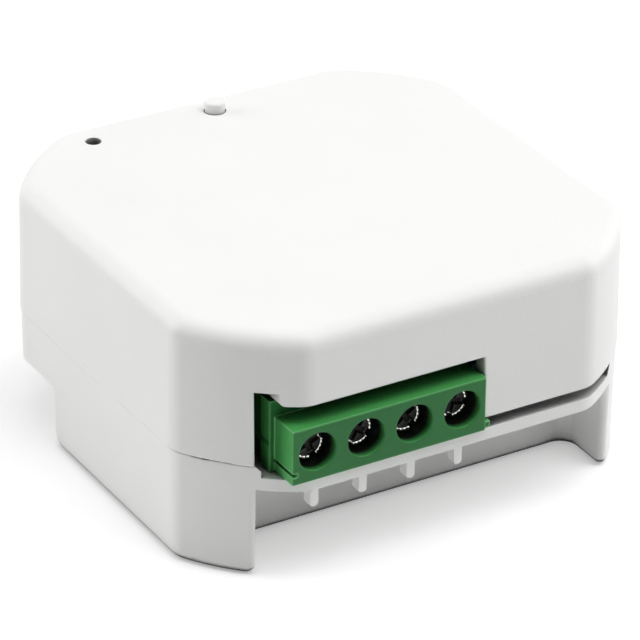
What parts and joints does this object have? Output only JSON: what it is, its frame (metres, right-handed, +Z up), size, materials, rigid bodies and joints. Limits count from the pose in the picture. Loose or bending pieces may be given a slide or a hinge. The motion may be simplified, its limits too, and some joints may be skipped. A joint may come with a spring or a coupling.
{
  "type": "smart relay module",
  "caption": "Flush-mount relay module: two-part white housing with cut corners, green screw terminal, button and light hole.",
  "frame": {"origin": "middle of the housing's plan shape, on the face that the module rests on", "axes": "+Z up through the lid, -Y out of the terminal's screw face, +X to the right as seen from the terminal side"},
  "size_m": [0.0474, 0.0478, 0.0256],
  "materials": {
    "white_housing": "fine matt moulded",
    "white_button": "satin moulded",
    "green_terminal": "semi-gloss moulded",
    "screw_steel": "zinc-plated, dark passivated",
    "cage_steel": "zinc-plated",
    "contact_brass": "tinned edge, plain",
    "board_green": "solder-masked glass laminate",
    "black_plastic": "moulded",
    "switch_button": "moulded",
    "light_lens": "clear resin on white",
    "relay_case": "moulded",
    "magnet_iron": "nickel-plated iron",
    "copper_wire": "enamelled copper",
    "ferrite": "sintered, dull",
    "winding_tape": "polyester tape",
    "capacitor_sleeve": "shrunk sleeve",
    "film_case": "moulded box",
    "varistor_coat": "dipped epoxy",
    "resistor_coat": "painted ceramic",
    "shield_metal": "tin-plated"
  },
  "bodies": {
    "housing": {"base": "white_housing", "lid": "white_housing", "terminal_housing": "green_terminal", "contact_bar_1": "contact_brass", "contact_bar_2": "contact_brass", "contact_bar_3": "contact_brass", "contact_bar_4": "contact_brass", "circuit_board": "board_green", "radio_board": "board_green", "switch_body": "black_plastic", "relay_header": "black_plastic", "relay_bobbin": "black_plastic", "transformer_former": "black_plastic", "bridge_rectifier": "black_plastic", "power_chip": "black_plastic", "status_light": "light_lens", "relay_cover": "relay_case", "relay_yoke": "magnet_iron", "relay_core": "magnet_iron", "relay_winding": "copper_wire", "choke_winding": "copper_wire", "radio_aerial": "copper_wire", "relay_open_contact": "copper_wire", "relay_closed_contact": "copper_wire", "transformer_core": "ferrite", "choke_core": "ferrite", "transformer_winding": "winding_tape", "input_capacitor": "capacitor_sleeve", "output_capacitor": "capacitor_sleeve", "film_capacitor": "film_case", "varistor": "varistor_coat", "fuse_resistor": "resistor_coat", "radio_shield": "shield_metal"},
    "button": {"button_cap": "white_button", "switch_plunger": "switch_button"},
    "armature": {"relay_armature": "magnet_iron", "relay_blade": "copper_wire"},
    "screw_1": {"terminal_screw_1": "screw_steel"},
    "cage_1": {"wire_cage_1": "cage_steel"},
    "screw_2": {"terminal_screw_2": "screw_steel"},
    "cage_2": {"wire_cage_2": "cage_steel"},
    "screw_3": {"terminal_screw_3": "screw_steel"},
    "cage_3": {"wire_cage_3": "cage_steel"},
    "screw_4": {"terminal_screw_4": "screw_steel"},
    "cage_4": {"wire_cage_4": "cage_steel"}
  },
  "joints": [
    {"name": "button_press", "type": "slide", "parent": "housing", "child": "button", "axis": [0, 0, -1], "range_m": [0, 0.00025], "stiffness_N_per_m": 800},
    {"name": "armature_rock", "type": "hinge", "parent": "housing", "child": "armature", "pos_m": [0.00585, -0.0064, 0.0081], "axis": [0, -1, 0], "range_deg": [0, 2.5], "stiffness_Nm_per_rad": 0.02},
    {"name": "screw_1_turn", "type": "hinge", "parent": "housing", "child": "screw_1", "pos_m": [-0.01412, -0.0225, 0.01325], "axis": [0, 1, 0], "range_deg": [0, 1440]},
    {"name": "cage_1_slide", "type": "slide", "parent": "housing", "child": "cage_1", "axis": [0, -1, 0], "range_m": [0, 0.0018]},
    {"name": "screw_2_turn", "type": "hinge", "parent": "housing", "child": "screw_2", "pos_m": [-0.00912, -0.0225, 0.01325], "axis": [0, 1, 0], "range_deg": [0, 1440]},
    {"name": "cage_2_slide", "type": "slide", "parent": "housing", "child": "cage_2", "axis": [0, -1, 0], "range_m": [0, 0.0018]},
    {"name": "screw_3_turn", "type": "hinge", "parent": "housing", "child": "screw_3", "pos_m": [-0.00412, -0.0225, 0.01325], "axis": [0, 1, 0], "range_deg": [0, 1440]},
    {"name": "cage_3_slide", "type": "slide", "parent": "housing", "child": "cage_3", "axis": [0, -1, 0], "range_m": [0, 0.0018]},
    {"name": "screw_4_turn", "type": "hinge", "parent": "housing", "child": "screw_4", "pos_m": [0.00088, -0.0225, 0.01325], "axis": [0, 1, 0], "range_deg": [0, 1440]},
    {"name": "cage_4_slide", "type": "slide", "parent": "housing", "child": "cage_4", "axis": [0, -1, 0], "range_m": [0, 0.0018]}
  ],
  "couplings": [
    {"joint": "screw_1_turn", "follows": "cage_1_slide", "rad_per_m": 13963},
    {"joint": "screw_2_turn", "follows": "cage_2_slide", "rad_per_m": 13963},
    {"joint": "screw_3_turn", "follows": "cage_3_slide", "rad_per_m": 13963},
    {"joint": "screw_4_turn", "follows": "cage_4_slide", "rad_per_m": 13963}
  ]
}
